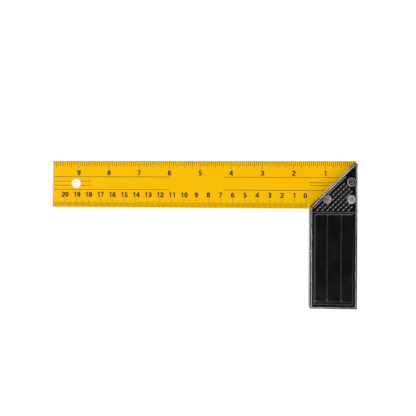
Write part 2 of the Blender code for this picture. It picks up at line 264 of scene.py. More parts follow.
# Tones of the materials: places on a scale from 0 to 1, and colours in linear light
NOISE_LOW = 0.3
NOISE_HIGH = 0.7
WEAR_START = 0.56
WEAR_END = 0.82
LACQUER_TONES = ((NOISE_LOW, (0.925, 0.502, 0.001)), (NOISE_HIGH, (0.96, 0.527, 0.001)))
STEEL_TONES = ((NOISE_LOW, (0.36, 0.35, 0.34)), (NOISE_HIGH, (0.55, 0.54, 0.52)))
INK_TONES = ((NOISE_LOW, (0.024, 0.005, 0.003)), (NOISE_HIGH, (0.044, 0.010, 0.005)))
RIM_TONES = ((0.0, (0.1, 0.1, 0.1)), (0.2, (0.34, 0.34, 0.35)),
             (0.64, (0.75, 0.75, 0.76)), (1.0, (0.96, 0.96, 0.98)))
SIDE_TONES = ((NOISE_LOW, (0.23, 0.235, 0.25)), (NOISE_HIGH, (0.35, 0.355, 0.37)))
PAINT_TONES = ((NOISE_LOW, (0.0018, 0.0018, 0.0020)), (NOISE_HIGH, (0.0040, 0.0040, 0.0042)))
WORN_TONES = ((WEAR_START, (0.005, 0.005, 0.005)), (WEAR_END, (0.5, 0.5, 0.51)))
RIVET_TONES = ((0.0, (0.08, 0.07, 0.07)), (0.3, (0.34, 0.32, 0.31)),
               (0.7, (0.66, 0.63, 0.61)), (0.85, (0.85, 0.82, 0.8)))
SKY_TONES = ((0.08, (0.9, 0.9, 0.9)), (0.2, (0.06, 0.06, 0.06)), (1.0, (0.03, 0.03, 0.03)))

# Camera that took the photograph, fitted to the printed scales
IMAGE_PIXELS = 416
FOCAL_PIXELS = 633.7
SENSOR_WIDTH = 36.0
CAMERA_PLACE = Vector((46.90, 15.88, 526.32)) * MM
CAMERA_YAW = math.radians(-4.582)
CAMERA_PITCH = math.radians(-0.510)
CAMERA_ROLL = math.radians(-0.454)
NEAREST_SEEN = 0.01
FARTHEST_SEEN = 100.0

# Studio
FLOOR_RADIUS = 8.0
FLOOR_DROP = 0.1 * MM
FLOOR_BOUNCE = (0.75, 0.75, 0.75, 1.0)
FLOOR_SHADE = (0.2, 0.2, 0.2, 1.0)
FLOOR_GLOW = 0.9
LAMP_DISTANCE = 1.0

# Softboxes: azimuth from +X towards +Y and elevation in degrees, width, height and radiance
MIDDLE_LAMPS = {"key": (127, 29, 0.45, 0.4, 7.7), "fill": (246, 54, 0.75, 0.45, 4.2)}
HANDLE_LAMPS = {"top": (68, 42, 0.5, 0.35, 4.5), "left": (192, 47, 0.5, 0.35, 1.7),
                "right": (-40, 47, 0.7, 0.35, 2.8), "right_low": (-19, 33, 0.4, 0.25, 1.8),
                "foot": (275, 34, 0.6, 0.3, 1.5)}


def mitre_y(x, offset):
    """Height of the line parallel to the mitred edge, set into the handle by the offset."""
    return KNEE_Y + (x - INNER_X) - offset * math.sqrt(2)


def mitre_x(y, offset):
    """Place along X of that same line."""
    return INNER_X + (y - KNEE_Y) + offset * math.sqrt(2)


def face_z(face, depth):
    """Level at a depth below the rim of the front (1) or the back (-1) of the handle."""
    return MID_Z + face * (HALF_THICKNESS - depth)


def rounded(corners, radii):
    """Anticlockwise outline with each corner rounded by its own radius."""
    points = []
    for index, (corner, radius) in enumerate(zip(corners, radii)):
        here = Vector(corner)
        back = (Vector(corners[index - 1]) - here).normalized()
        onward = (Vector(corners[(index + 1) % len(corners)]) - here).normalized()
        half_angle = back.angle(onward) / 2
        centre = here + (back + onward).normalized() * radius / math.sin(half_angle)
        start = here + back * radius / math.tan(half_angle) - centre
        sweep = math.pi - 2 * half_angle
        for step in range(ARC_STEPS + 1):
            points.append(centre + Matrix.Rotation(sweep * step / ARC_STEPS, 2) @ start)
    return points


def rectangle(low_x, high_x, low_y, high_y):
    """Corners of an upright rectangle, anticlockwise."""
    return [(low_x, low_y), (high_x, low_y), (high_x, high_y), (low_x, high_y)]


def circle(centre, radius):
    """Points of a circle, anticlockwise."""
    turns = [2 * math.pi * step / CIRCLE_SEGMENTS for step in range(CIRCLE_SEGMENTS)]
    return [(centre[0] + radius * math.cos(turn), centre[1] + radius * math.sin(turn)) for turn in turns]


def arc(centre_x, centre_y, radius_x, radius_y, start=0, end=360):
    """Points along an ellipse or a part of it; angles in degrees."""
    turns = [math.radians(start + (end - start) * step / DIGIT_STEPS) for step in range(DIGIT_STEPS + 1)]
    return [(centre_x + radius_x * math.cos(turn), centre_y + radius_y * math.sin(turn)) for turn in turns]


def even_steps(end):
    """Evenly spaced numbers from nought to the end, for curved sections."""
    return [end * step / ROUND_STEPS for step in range(ROUND_STEPS + 1)]


def round_over(radius):
    """(depth, inset) steps of a quarter round that ends level at the top."""
    return [(radius * (1 - math.sin(angle)), radius * (1 - math.cos(angle)))
            for angle in even_steps(math.pi / 2)]


def bevel(depth, height, width):
    """(depth, inset) steps of a straight bevel, eased at both ends, that ends at the depth."""
    ease = BEVEL_EASE * width
    lift = height / (1 - BEVEL_EASE) * BEVEL_EASE / 2
    return [(depth + height, 0), (depth + height - lift, ease),
            (depth + lift, width - ease), (depth, width)]


def swell(low_depth, high_depth, width):
    """(depth, inset) steps of an S-shaped flank."""
    rise = high_depth - low_depth
    return [(low_depth + rise * share * share * (3 - 2 * share), width * share)
            for share in even_steps(1)]


def hollow(low_depth, high_depth, width):
    """(depth, inset) steps of a flank that starts level and steepens."""
    rise = high_depth - low_depth
    return [(low_depth + rise * share ** BAR_SLOPE_POWER, width * share) for share in even_steps(1)]


def rings(face, profile, outline):
    """Levels and outlines of a solid on one face, from (depth, inset) steps."""
    return [(face_z(face, depth), outline(inset)) for depth, inset in profile]


def add_stack(mesh, levels):
    """Add a closed solid through outlines of equal length, each at its own level."""
    loops = []
    for level, outline in sorted(levels, key=lambda ring: ring[0]):
        loops.append([mesh.verts.new((point[0], point[1], level)) for point in outline])
    mesh.faces.new(reversed(loops[0]))
    mesh.faces.new(loops[-1])
    for lower, upper in zip(loops, loops[1:]):
        for index in range(len(lower)):
            after = (index + 1) % len(lower)
            mesh.faces.new((lower[index], lower[after], upper[after], upper[index]))


def stack_mesh(*solids):
    """Mesh of closed solids that stay clear of each other, each given by its levels."""
    mesh = bmesh.new()
    for levels in solids:
        add_stack(mesh, levels)
    return mesh


def turned_mesh(profile):
    """Solid turned about Z from (radius, level) points that start and end on the axis."""
    mesh = bmesh.new()
    bottom = mesh.verts.new((0, 0, profile[0][1]))
    top = mesh.verts.new((0, 0, profile[-1][1]))
    loops = []
    for radius, level in profile[1:-1]:
        loops.append([mesh.verts.new((x, y, level)) for x, y in circle((0, 0), radius)])
    for index in range(CIRCLE_SEGMENTS):
        after = (index + 1) % CIRCLE_SEGMENTS
        mesh.faces.new((bottom, loops[0][after], loops[0][index]))
        mesh.faces.new((top, loops[-1][index], loops[-1][after]))
        for lower, upper in zip(loops, loops[1:]):
            mesh.faces.new((lower[index], lower[after], upper[after], upper[index]))
    return mesh


def add_object(name, mesh, *materials):
    """Turn a bmesh into an object of the scene."""
    data = bpy.data.meshes.new(name)
    mesh.to_mesh(data)
    mesh.free()
    for material in materials:
        data.materials.append(material)
    made = bpy.data.objects.new(name, data)
    bpy.context.scene.collection.objects.link(made)
    return made


def use_tool(piece, operation, name, mesh, *materials):
    """Cut a mesh from the piece or join it on; its faces keep the tool's material."""
    tool = add_object(name, mesh, *materials)
    tool.hide_render = True
    modifier = piece.modifiers.new(name, "BOOLEAN")
    modifier.operation = operation
    modifier.object = tool
    modifier.solver = "EXACT"
    modifier.material_mode = "TRANSFER"
    return tool


def settle(piece, tools):
    """Apply the piece's modifiers and take its tools away."""
    evaluated = piece.evaluated_get(bpy.context.evaluated_depsgraph_get())
    data = bpy.data.meshes.new_from_object(evaluated)
    piece.modifiers.clear()
    piece.data = data
    for tool in tools:
        bpy.data.objects.remove(tool, do_unlink=True)


def smooth(piece):
    """Shade round stretches smooth, keep true edges sharp and flats flat."""
    piece.data.shade_smooth()
    piece.data.set_sharp_from_angle(angle=SHARP_ANGLE)
    weighted = piece.modifiers.new("flat_faces", "WEIGHTED_NORMAL")
    weighted.keep_sharp = True


def dress(piece, slot, *nodes):
    """Ride the piece on the square's one body and hide the CAD parts that it stands for; the slot is not
    used.
    """
    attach(piece, "root")
    if nodes:
        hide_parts(*nodes)


def add_node(tree, kind, inputs, output, operation=None):
    """Add a shader node; each of its inputs takes a constant or another node's output."""
    node = tree.nodes.new("ShaderNode" + kind)
    if operation:
        node.operation = operation
    for key, value in inputs.items():
        if isinstance(value, bpy.types.NodeSocket):
            tree.links.new(value, node.inputs[key])
        else:
            node.inputs[key].default_value = value
    return node.outputs[output]


def add_ramp(tree, value, tones):
    """Add a node that maps a value to colours, each tone a place and a colour."""
    node = tree.nodes.new("ShaderNodeValToRGB")
    elements = node.color_ramp.elements
    while len(elements) < len(tones):
        elements.new(1.0)
    for element, (position, colour) in zip(elements, tones):
        element.position = position
        element.color = (*colour, 1.0)
    tree.links.new(value, node.inputs["Fac"])
    return node.outputs["Color"]


class Look:
    """A material's node tree, built step by step in object coordinates."""

    def __init__(self, name, **constants):
        self.material = bpy.data.materials.new(name)
        self.material.use_nodes = True
        self.tree = self.material.node_tree
        self.shader = self.tree.nodes["Principled BSDF"]
        self.place = add_node(self.tree, "TexCoord", {}, "Object")
        self.normal = None
        for constant, value in constants.items():
            socket = constant.replace("_", " ").title().replace("Ior", "IOR")
            self.shader.inputs[socket].default_value = value

    def noise(self, scale, detail=3.0, roughness=0.55, stretch=None):
        """Cloudy value, mostly between NOISE_LOW and NOISE_HIGH; a stretch makes it run one way."""
        place = self.place
        if stretch:
            place = add_node(self.tree, "Mapping", {"Vector": place, "Scale": stretch}, "Vector")
        inputs = {"Vector": place, "Scale": scale, "Detail": detail, "Roughness": roughness}
        return add_node(self.tree, "TexNoise", inputs, "Fac")

    def spread(self, value, low, high, start=NOISE_LOW, end=NOISE_HIGH):
        """Map a value that runs from start to end to one that runs from low to high."""
        inputs = {"Value": value, "From Min": start, "From Max": end, "To Min": low, "To Max": high}
        return add_node(self.tree, "MapRange", inputs, "Result")

    def fade(self, vector, low, high, start, end, measure="DOT_PRODUCT"):
        """Value from low to high between two places along a direction, or two distances from a point."""
        inputs = {0: self.place, 1: vector}
        place = add_node(self.tree, "VectorMath", inputs, "Value", measure)
        return self.spread(place, low, high, start, end)

    def reckon(self, operation, first, *others):
        """Sum or product of some values."""
        for other in others:
            first = add_node(self.tree, "Math", {0: first, 1: other}, "Value", operation)
        return first

    def link(self, value, socket):
        """Let a value or a colour drive a setting of the shader."""
        self.tree.links.new(value, self.shader.inputs[socket])

    def tint(self, value, tones):
        """Colour the surface by a value."""
        self.link(add_ramp(self.tree, value, tones), "Base Color")

    def roughen(self, value, low, high, start=NOISE_LOW, end=NOISE_HIGH):
        """Vary the roughness by a value."""
        self.link(self.spread(value, low, high, start, end), "Roughness")

    def emboss(self, value, strength, depth):
        """Raise and lower the surface by a value, over what embosses it already."""
        inputs = {"Height": value, "Strength": strength, "Distance": depth}
        if self.normal:
            inputs["Normal"] = self.normal
        self.normal = add_node(self.tree, "Bump", inputs, "Normal")
        self.link(self.normal, "Normal")


def lacquer_material():
    """Yellow stoving lacquer: faint mottling, orange peel and fine rub marks."""
    look = Look("yellow_lacquer", specular_ior_level=0.3)
    mottling = look.noise(scale=35.0)
    rubs = look.noise(scale=60.0, detail=4.0, roughness=0.6, stretch=(1.0, 14.0, 14.0))
    peel = look.noise(scale=900.0, detail=2.0)
    look.tint(mottling, LACQUER_TONES)
    look.roughen(rubs, low=0.14, high=0.22)
    look.emboss(peel, strength=0.1, depth=0.02 * MM)
    return look.material


def steel_material():
    """Ground edge of the blade."""
    look = Look("ground_steel", metallic=1.0)
    grind = look.noise(scale=300.0, roughness=0.6, stretch=(1.0, 1.0, 12.0))
    look.tint(grind, STEEL_TONES)
    look.roughen(grind, low=0.3, high=0.5)
    look.emboss(grind, strength=0.25, depth=0.02 * MM)
    return look.material


def ink_material():
    """Dark brown printing ink, a little uneven."""
    look = Look("brown_ink", specular_ior_level=0.25)
    body = look.noise(scale=500.0)
    look.tint(body, INK_TONES)
    look.roughen(body, low=0.3, high=0.45)
    return look.material


def rim_material():
    """Faced rim of the casting: tool lines, dull patches and pits.

    It is brighter along the mitre, short of the tip, rubbed there and given a painted sheen of the lamps in
    its tool lines; tarnished at the mitre's very edge, most of all at the knee, and duller towards the outer
    side.
    """
    look = Look("faced_rim", metallic=1.0)
    patches = look.noise(scale=160.0, detail=5.0, roughness=0.65)
    lines = look.noise(scale=700.0, detail=2.0, roughness=0.5, stretch=(1.0, 0.08, 1.0))
    pits = look.noise(scale=1500.0, detail=2.0)
    # Painted sheen: the rim brightens along the mitre, short of the tip, for the lamps' gleam in its tool
    # lines as well as its rubbing.
    mitre = look.fade(MITRE_DIRECTION, low=0.0, high=0.56,
                      start=MITRE_REACH - MITRE_RIM - SHEEN_AND_RUBBING_FADE, end=MITRE_REACH - MITRE_RIM)
    below_tip = look.fade(Y_WAY, low=1.0, high=0.0, start=TIP_Y - MITRE_RIM * 2, end=TIP_Y - MITRE_RIM)
    edge = look.fade(MITRE_DIRECTION, low=0.0, high=1.0,
                     start=MITRE_REACH - EDGE_CHAMFER - EDGE_STRIP, end=MITRE_REACH - EDGE_CHAMFER)
    tarnish = look.fade(KNEE, low=-1.2, high=-0.62, start=HALF_THICKNESS, end=HALF_THICKNESS * 2,
                        measure="DISTANCE")
    rubbed = look.reckon("MULTIPLY", mitre, below_tip)
    tarnished = look.reckon("MULTIPLY", edge, tarnish)
    dull = look.fade(X_WAY, low=0.04, high=-0.18, start=INNER_X + INNER_RIM, end=OUTER_X - OUTER_RIM)
    shine = look.spread(patches, low=0.28, high=0.64)
    look.tint(look.reckon("ADD", shine, rubbed, tarnished, dull), RIM_TONES)
    look.roughen(patches, low=0.44, high=0.56)
    look.emboss(lines, strength=0.25, depth=0.03 * MM)
    look.emboss(pits, strength=0.15, depth=0.03 * MM)
    return look.material


def side_material():
    """Sides of the casting, ground dull: grinding lines along the edge over a grey oxide skin."""
    look = Look("ground_sides", metallic=0.5)
    patches = look.noise(scale=130.0, detail=5.0, roughness=0.65)
    lines = look.noise(scale=500.0, roughness=0.6, stretch=(0.05, 0.05, 2.0))
    look.tint(patches, SIDE_TONES)
    look.roughen(patches, low=0.5, high=0.66)
    look.emboss(lines, strength=0.3, depth=0.03 * MM)
    return look.material


def paint_material():
    """Black paint on the cast face: satin, with the skin of the casting under it."""
    look = Look("black_cast_paint")
    clouds = look.noise(scale=90.0, detail=4.0)
    skin = look.noise(scale=1100.0)
    look.tint(clouds, PAINT_TONES)
    look.roughen(clouds, low=0.2, high=0.28)
    look.emboss(skin, strength=0.12, depth=0.03 * MM)
    return look.material


def worn_edge_material():
    """Paint of the outer edges, partly rubbed through to the metal.

    It is rubbed most along the outer side above the grip, short of the tip, and kept round the knee.
    """
    look = Look("worn_painted_edge", specular_ior_level=0.2)
    scuffs = look.noise(scale=420.0, detail=5.0, roughness=0.65)
    outer = look.fade(X_WAY, low=0.0, high=0.48, start=OUTER_X - OUTER_RIM * 2, end=OUTER_X - OUTER_RIM)
    upper = look.fade(Y_WAY, low=0.0, high=1.0, start=KNEE_Y - HANDLE_WIDTH, end=KNEE_Y + HALF_THICKNESS)
    below_tip = look.fade(Y_WAY, low=1.0, high=0.0, start=TIP_Y - OUTER_RIM * 2, end=TIP_Y - OUTER_RIM)
    bared = look.reckon("MULTIPLY", outer, upper, below_tip)
    kept = look.fade(KNEE, low=-0.2, high=0.0, start=HANDLE_WIDTH, end=HANDLE_WIDTH * 2, measure="DISTANCE")
    wear = look.reckon("ADD", scuffs, bared, kept)
    look.tint(wear, WORN_TONES)
    look.link(look.spread(wear, low=0.0, high=1.0, start=WEAR_START, end=WEAR_END), "Metallic")
    look.roughen(wear, low=0.32, high=0.48, start=WEAR_START, end=WEAR_END)
    look.emboss(wear, strength=0.25, depth=0.04 * MM)
    return look.material


def rivet_material():
    """Dull rivet steel with the marks of the setting tool, dirtied on the upper rivet; painted shade darkens
    the inner rivet's left side.
    """
    look = Look("rivet_metal", metallic=1.0)
    marks = look.noise(scale=650.0, detail=4.0, roughness=0.65)
    inner_x = RIVET_CENTRES["rivet_inner"].x
    upper_y = RIVET_CENTRES["rivet_upper"].y
    # Painted shade: the inner rivet darkens towards its left side, and the rivets right of it are lightened
    # a little.
    painted_shade_inner = look.fade(X_WAY, low=-0.4, high=0.04, start=inner_x - HEAD_RADIUS, end=inner_x + HEAD_RADIUS)
    grimy = look.fade(Y_WAY, low=0.0, high=-0.2, start=upper_y - HEAD_RADIUS * 2, end=upper_y - HEAD_RADIUS)
    look.tint(look.reckon("ADD", marks, painted_shade_inner, grimy), RIVET_TONES)
    look.roughen(marks, low=0.42, high=0.58)
    look.emboss(marks, strength=0.3, depth=0.05 * MM)
    return look.material


def handle_outline(inset, foot_shift=0, knee_shift=0, knee_strip=0):
    """Outline of the handle moved inwards; its inner side and its knee may be shifted as well."""
    foot_x = INNER_X + inset + foot_shift
    knee_x = INNER_X + inset + knee_shift
    high_x = OUTER_X - inset
    low_y = FOOT_Y + inset
    high_y = TIP_Y - inset
    corners = [(foot_x, low_y), (high_x, low_y), (high_x, high_y),
               (mitre_x(high_y, inset), high_y), (knee_x, mitre_y(knee_x, inset + knee_strip))]
    return rounded(corners, [FOOT_CORNER_RADIUS] * 2 + [CORNER_RADIUS] * 3)


def faced_outline(inset):
    """Outline of the faced rim, which runs a little out of true along the inner side."""
    return handle_outline(inset, INNER_FOOT_SHIFT, INNER_KNEE_SHIFT, KNEE_STRIP)


def body_levels():
    """Handle body; each face has a chamfer and inside it a strip of paint that the facing cut left."""
    strip = EDGE_CHAMFER + EDGE_STRIP
    faced = [(0, strip + EDGE_SOFTENING), (PAINT_STEP, strip)]
    edge = [(PAINT_STEP + STRIP_FALL, EDGE_CHAMFER + EDGE_SOFTENING),
            (PAINT_STEP + STRIP_SHOULDER, EDGE_CHAMFER),
            (EDGE_CHAMFER, CHAMFER_SHOULDER), (EDGE_CHAMFER + EDGE_SOFTENING, 0)]
    levels = []
    for face in FACES:
        levels += rings(face, faced, faced_outline)
        levels += rings(face, edge, handle_outline)
    return levels


def recess_outline(inset):
    """Outline of the hollow inside the rim."""
    foot_x = INNER_X + INNER_RIM + inset + INNER_FOOT_SHIFT
    knee_x = INNER_X + INNER_RIM + inset + INNER_KNEE_SHIFT
    high_x = OUTER_X - OUTER_RIM - inset
    low_y = FOOT_Y + FOOT_RIM + inset
    mitre = MITRE_RIM + inset
    corners = [(foot_x, low_y), (high_x, low_y),
               (high_x, mitre_y(high_x, mitre)), (knee_x, mitre_y(knee_x, mitre))]
    return rounded(corners, [RECESS_CORNER_RADIUS] * len(corners))


def recess_levels(face):
    """The hollow of one face: filleted floor, rounded lip and the margin of paint left on the rim."""
    fillet = [(RECESS_DEPTH - inset, depth) for depth, inset in round_over(RECESS_FILLET)]
    lip = [(PAINT_STEP + RECESS_LIP, 0), (PAINT_STEP + LIP_SHOULDER, -LIP_SETBACK),
           (PAINT_STEP + LIP_FALL, -RECESS_LIP), (PAINT_STEP, -PAINT_MARGIN), (-OVERSHOOT, -PAINT_MARGIN)]
    return rings(face, fillet + lip, recess_outline)


def pad_outline(inset):
    """Outline of the grip pad."""
    corners = rectangle(INNER_X + PAD_OFFSET + inset, OUTER_X - PAD_OFFSET - inset,
                        FOOT_Y + PAD_OFFSET + inset, PAD_TOP_Y - inset)
    return rounded(corners, [PAD_CORNER_RADIUS] * len(corners))


def panel_levels(face):
    """The three long panels raised on the grip pad of one face."""
    middle_x = (INNER_X + OUTER_X) / 2
    outer_edge = HANDLE_WIDTH / 2 - PAD_OFFSET - PANEL_SIDE_MARGIN
    groove_far = (GROOVE_SPACING + GROOVE_WIDTH) / 2
    groove_near = (GROOVE_SPACING - GROOVE_WIDTH) / 2
    low_y = FOOT_Y + PAD_OFFSET + PANEL_FOOT_MARGIN
    high_y = PAD_TOP_Y - PANEL_TOP_MARGIN
    radii = [PANEL_FOOT_RADIUS] * 2 + [PANEL_TOP_RADIUS] * 2
    pad_top = RECESS_DEPTH - PAD_HEIGHT
    steps = [(pad_top + ROOT, 0)] + swell(pad_top, pad_top - PANEL_HEIGHT, PANEL_FLANK)
    solids = []
    for left, right in ((-outer_edge, GROOVE_SHIFT - groove_far),
                        (GROOVE_SHIFT - groove_near, GROOVE_SHIFT + groove_near),
                        (GROOVE_SHIFT + groove_far, outer_edge)):
        def outline(inset, left=left, right=right):
            corners = rectangle(middle_x + left + inset, middle_x + right - inset * PANEL_BACK_SHARE,
                                low_y + inset, high_y - inset * PANEL_TOP_SHARE)
            return rounded(corners, radii)
        solids.append(rings(face, steps, outline))
    return solids


def bar_outline(inset):
    """Outline of the cross bar, which grows out of the inner rim."""
    back = inset * BAR_BACK_SHARE
    return rectangle(INNER_X + INNER_RIM - ROOT, OUTER_X - OUTER_RIM - BAR_RIM_GAP - back,
                     BAR_TOP_Y - BAR_WIDTH + back, BAR_TOP_Y - inset)


def ridge_outline(inset):
    """Outline of the thin ridge that follows the mitred edge."""
    low_x = INNER_X + INNER_RIM + RIDGE_END_GAP + inset
    high_x = INNER_X + RIDGE_LENGTH - inset
    near = RIDGE_OFFSET + inset
    far = RIDGE_OFFSET + RIDGE_WIDTH - inset
    return [(low_x, mitre_y(low_x, far)), (high_x, mitre_y(high_x, far)),
            (high_x, mitre_y(high_x, near)), (low_x, mitre_y(low_x, near))]


def knurl_limits():
    """Point and outward direction of each side of the knurled triangle."""
    right_x = OUTER_X - OUTER_RIM - KNURL_BORDER
    slant = RIDGE_OFFSET + RIDGE_WIDTH + KNURL_BORDER
    corner = Vector((right_x, KNURL_FOOT_Y, 0))
    top = Vector((right_x, mitre_y(right_x, slant), 0))
    return [(corner, X_WAY), (corner, -Y_WAY), (top, MITRE_DIRECTION)]


def plinth_levels(face):
    """Raised triangle of one face that carries the knurl."""
    (corner, _), _, (top, _) = knurl_limits()
    left_x = top.x - (top.y - corner.y)
    outline = [(left_x, corner.y), (corner.x, corner.y), (top.x, top.y)]
    depths = (RECESS_DEPTH + ROOT, RECESS_DEPTH - KNURL_PLINTH)
    return [(face_z(face, depth), outline) for depth in depths]


def raised_levels(face):
    """What stands in the recess of one face: bevelled pad, sloping bar, roof-shaped ridge and plinth."""
    crest = RECESS_DEPTH - BAR_HEIGHT
    forms = [(bevel(RECESS_DEPTH - PAD_HEIGHT, PAD_BEVEL_HEIGHT, PAD_BEVEL_WIDTH), pad_outline),
             (hollow(crest + BAR_SLOPE_HEIGHT, crest, BAR_SLOPE_WIDTH), bar_outline),
             (bevel(RECESS_DEPTH - RIDGE_HEIGHT, RIDGE_BEVEL_HEIGHT, RIDGE_BEVEL_WIDTH), ridge_outline)]
    solids = [rings(face, [(RECESS_DEPTH + ROOT, 0)] + flank, outline) for flank, outline in forms]
    return solids + [plinth_levels(face)]


def add_stud(mesh, face, centre, limits):
    """Add one flat-topped four-sided knurl point, trimmed to the triangle."""
    reach = KNURL_PITCH / 2 - KNURL_VALLEY / math.sqrt(2)
    base = RECESS_DEPTH - KNURL_PLINTH
    levels = []
    tip = (base - KNURL_HEIGHT, reach * KNURL_TOP_SHARE)
    for depth, size in ((base + ROOT, reach), (base, reach), tip):
        levels.append((face_z(face, depth), [(centre.x + size, centre.y), (centre.x, centre.y + size),
                                             (centre.x - size, centre.y), (centre.x, centre.y - size)]))
    stud = stack_mesh(levels)
    for point, outward in limits:
        parts = stud.verts[:] + stud.edges[:] + stud.faces[:]
        bmesh.ops.bisect_plane(stud, geom=parts, plane_co=point, plane_no=outward, clear_outer=True)
        bmesh.ops.holes_fill(stud, edges=[edge for edge in stud.edges if edge.is_boundary])
    bmesh.ops.recalc_face_normals(stud, faces=stud.faces[:])
    copies = {vert: mesh.verts.new(vert.co) for vert in stud.verts}
    for side in stud.faces:
        mesh.faces.new([copies[vert] for vert in side.verts])
    stud.free()


def knurl_mesh():
    """Knurl points of both faces whose middle lies inside the triangle and clear of the rivets."""
    limits = knurl_limits()
    start = Vector((OUTER_X - KNURL_START_X, KNURL_FOOT_Y + KNURL_START_Y, 0))
    half_pitch = KNURL_PITCH / 2
    reach = math.ceil(HANDLE_WIDTH / half_pitch)
    mesh = bmesh.new()
    for column in range(-reach, reach + 1):
        for row in range(-reach, reach + 1):
            centre = start + Vector((column, row, 0)) * half_pitch
            inside = all((centre - point).dot(outward) < 0 for point, outward in limits)
            clear = all((centre - RIVET_CENTRES[node]).xy.length > gap for node, gap in KNURL_GAPS.items())
            if inside and clear and (column + row) % 2 == 0:
                for face in FACES:
                    add_stud(mesh, face, centre, limits)
    return mesh


def slot_levels():
    """Slot for the blade, open at the mitred edge, the tip and the outer face."""
    outline = rectangle(INNER_X - OVERSHOOT, OUTER_X + OVERSHOOT,
                        blade_low.y - SLOT_CLEARANCE, blade_high.y + OVERSHOOT)
    return [(blade_low.z - SLOT_CLEARANCE, outline), (blade_high.z + SLOT_CLEARANCE, outline)]


def rivet_cylinders(radius, low_z, high_z):
    """One upright cylinder on each rivet's axis."""
    return [[(low_z, circle(centre, radius)), (high_z, circle(centre, radius))]
            for centre in RIVET_CENTRES.values()]


def nick_mesh():
    """Scoop of the small bright nick in the inner edge of the front."""
    place = Matrix.Translation((INNER_X + NICK_SIZE.x / 2, NICK_Y, handle_high.z))
    scoop = place @ Matrix.Diagonal((*NICK_SIZE, 1))
    mesh = bmesh.new()
    bmesh.ops.create_icosphere(mesh, subdivisions=NICK_FINENESS, radius=1, matrix=scoop)
    return mesh


def finish_outside(data, side, worn_edge):
    """Give the handle ground walls, and painted edges and strips but for a bare edge on the mitre."""
    data.materials.append(side)
    data.materials.append(worn_edge)
    worn_index = len(data.materials) - 1
    for polygon in data.polygons:
        if polygon.material_index == 0:
            level = abs(polygon.normal.z)
            depth = HALF_THICKNESS - abs(polygon.center.z - MID_Z)
            if level < WALL_LEVEL:
                polygon.material_index = worn_index - 1
            elif PAINT_STEP / 2 < depth < EDGE_CHAMFER:
                bare = level < CHAMFER_LEVEL and polygon.normal.dot(MITRE_DIRECTION) > MITRE_SHARE
                polygon.material_index = 0 if bare else worn_index


def build_handle(rim, side, paint, worn_edge):
    """Cast handle: faced body, painted recesses and what stands in them, slot and rivet seats."""
    handle = add_object("cast_handle", stack_mesh(body_levels()), rim)
    recesses = [recess_levels(face) for face in FACES]
    raised = [form for face in FACES for form in raised_levels(face)]
    panels = [panel for face in FACES for panel in panel_levels(face)]
    holes = rivet_cylinders(HOLE_RADIUS, handle_low.z - OVERSHOOT, handle_high.z + OVERSHOOT)
    seat_depth = RECESS_DEPTH + SPOT_FACE_DEPTH
    seats = []
    for face in FACES:
        seats += rivet_cylinders(SEAT_RADIUS, face_z(face, seat_depth), face_z(face, -OVERSHOOT))
    tools = [
        use_tool(handle, "DIFFERENCE", "recesses", stack_mesh(*recesses), paint),
        use_tool(handle, "UNION", "raised_forms", stack_mesh(*raised), paint),
        use_tool(handle, "UNION", "grip_panels", stack_mesh(*panels), paint),
        use_tool(handle, "UNION", "knurl", knurl_mesh(), paint),
        use_tool(handle, "DIFFERENCE", "blade_slot", stack_mesh(slot_levels()), rim),
        use_tool(handle, "DIFFERENCE", "rivet_holes", stack_mesh(*holes), rim),
        use_tool(handle, "DIFFERENCE", "spot_faces", stack_mesh(*seats), paint),
    ]
    settle(handle, tools)
    finish_outside(handle.data, side, worn_edge)
    settle(handle, [use_tool(handle, "DIFFERENCE", "nick", nick_mesh(), rim)])
    smooth(handle)
    dress(handle, "handle_casting", "handle_casting")


def head_profile(ringed):
    """(radius, level) points of a rivet's upper half, from under its head to its middle."""
    top = RIVET_HALF
    under_head = top - HEAD_HEIGHT
    points = [(SHANK_RADIUS, under_head), (HEAD_RADIUS, under_head)]
    for depth, inset in round_over(HEAD_ROUND):
        points.append((HEAD_RADIUS - inset, top - depth - HEAD_CROWN))
    if ringed:
        points += [(RING_OUTER, top), (RING_OUTER - RING_WALL, top - RING_DEPTH),
                   (RING_INNER + RING_WALL, top - RING_DEPTH), (RING_INNER, top)]
    dimple = DIMPLE_DEPTH if ringed else SHALLOW_DIMPLE
    points += [(DIMPLE_RADIUS, top), (DIMPLE_WALL_RADIUS, top - dimple * DIMPLE_WALL_SHARE),
               (DIMPLE_FLOOR_RADIUS, top - dimple), (0, top - dimple)]
    return points


def build_rivets(metal, paint):
    """Three set rivets with a head on both faces; the upper one keeps the ring of its setting tool."""
    for node, centre in RIVET_CENTRES.items():
        ringed = node == "rivet_upper"
        upper_half = head_profile(ringed)
        lower_half = [(radius, -level) for radius, level in reversed(upper_half)]
        rivet = add_object("set_" + node, turned_mesh(lower_half + upper_half), metal, paint)
        # The upper rivet's ring and dimple take the dark worn paint: paint caught in these hollows and
        # painted shade of them.
        for polygon in rivet.data.polygons:
            depth = RIVET_HALF - abs(polygon.center.z)
            sunk = PAINT_AND_SHADE_LEVEL < depth < HEAD_HEIGHT and polygon.center.xy.length < RING_OUTER
            polygon.material_index = 1 if ringed and sunk else 0
        rivet.data.transform(Matrix.Translation(centre))
        smooth(rivet)
        dress(rivet, "rivet_metal", node)


def blade_outline(inset):
    """Outline of the blade moved inwards on every side."""
    return rectangle(blade_low.x + inset, blade_high.x - inset,
                     blade_low.y + inset, blade_high.y - inset)


def blade_section(reach, edge, outer, inner):
    """Levels through the blade: the outer outline a reach past its faces, the inner one between."""
    return [(blade_low.z - reach, outer), (blade_low.z + edge, inner),
            (blade_high.z - edge, inner), (blade_high.z + reach, outer)]


def hole_levels(centre, radius):
    """Cutter for a hole with a broken edge on both faces."""
    wide = circle(centre, radius + HOLE_EDGE + OVERSHOOT)
    return blade_section(OVERSHOOT, HOLE_EDGE, wide, circle(centre, radius))


